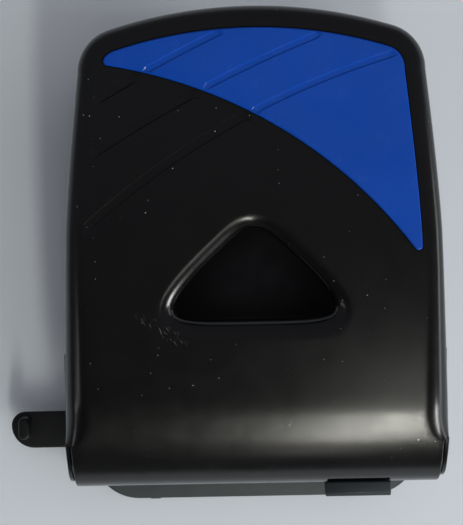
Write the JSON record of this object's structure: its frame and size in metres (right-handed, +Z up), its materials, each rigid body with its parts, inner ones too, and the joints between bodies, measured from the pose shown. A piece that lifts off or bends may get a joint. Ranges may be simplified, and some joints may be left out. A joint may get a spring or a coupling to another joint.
{
  "type": "two-hole punch",
  "caption": "Desk punch with a stamped steel lever handle, plastic inlay, sprung punch pins in folded brackets, sliding paper guide, handle lock and swing-down chip tray.",
  "frame": {"origin": "on the desk, under the middle of the line between the two punch pins", "axes": "+X to the right, +Y towards the handle's free end, +Z up"},
  "size_m": [0.1245, 0.1385, 0.0622],
  "materials": {
    "black_paint": "satin",
    "blue_plastic": "satin",
    "slate_plastic": "matte",
    "tray_plastic": "matte",
    "black_plastic": "satin",
    "bracket_steel": "zinc plated",
    "tool_steel": "ground",
    "spring_steel": "drawn",
    "zinc_steel": "zinc plated",
    "rubber": "matte"
  },
  "bodies": {
    "base": {"base_frame": "slate_plastic", "base_plate": "black_paint", "left_die": "tool_steel", "right_die": "tool_steel", "left_bracket": "bracket_steel", "right_bracket": "bracket_steel", "bracket_rivets": "zinc_steel", "hinge_axle": "tool_steel", "axle_clips": "spring_steel", "left_spring_washer": "zinc_steel", "right_spring_washer": "zinc_steel", "left_return_spring": "spring_steel", "right_return_spring": "spring_steel", "frame_screws": "zinc_steel", "rubber_feet": "rubber", "guide_channel": "zinc_steel"},
    "handle": {"handle": "black_paint", "handle_inlay": "blue_plastic"},
    "left_pin": {"left_punch_pin": "tool_steel", "left_spring_clip": "spring_steel"},
    "right_pin": {"right_punch_pin": "tool_steel", "right_spring_clip": "spring_steel"},
    "tray": {"chip_tray": "tray_plastic"},
    "guide": {"paper_guide": "black_plastic"},
    "lock": {"lock_slider": "black_plastic"}
  },
  "joints": [
    {"name": "handle_press", "type": "hinge", "parent": "base", "child": "handle", "pos_m": [0, -0.019, 0.033], "axis": [-1, 0, 0], "range_deg": [0, 18], "stiffness_Nm_per_rad": 1.2, "springref_deg": -20.05},
    {"name": "left_pin_slide", "type": "slide", "parent": "base", "child": "left_pin", "axis": [0, 0, -1], "range_m": [0, 0.006], "deforming": ["left_return_spring"]},
    {"name": "right_pin_slide", "type": "slide", "parent": "base", "child": "right_pin", "axis": [0, 0, -1], "range_m": [0, 0.006], "deforming": ["right_return_spring"]},
    {"name": "tray_hinge", "type": "hinge", "parent": "base", "child": "tray", "pos_m": [0, 0.074, 0.0036], "axis": [1, 0, 0], "range_deg": [0, 60]},
    {"name": "guide_slide", "type": "slide", "parent": "base", "child": "guide", "axis": [-1, 0, 0], "range_m": [-0.017, 0.025]},
    {"name": "lock_slide", "type": "slide", "parent": "base", "child": "lock", "axis": [-1, 0, 0], "range_m": [0, 0.02]}
  ],
  "couplings": [
    {"joint": "left_pin_slide", "follows": "handle_press", "m_per_rad": 0.019068},
    {"joint": "right_pin_slide", "follows": "handle_press", "m_per_rad": 0.019068}
  ]
}
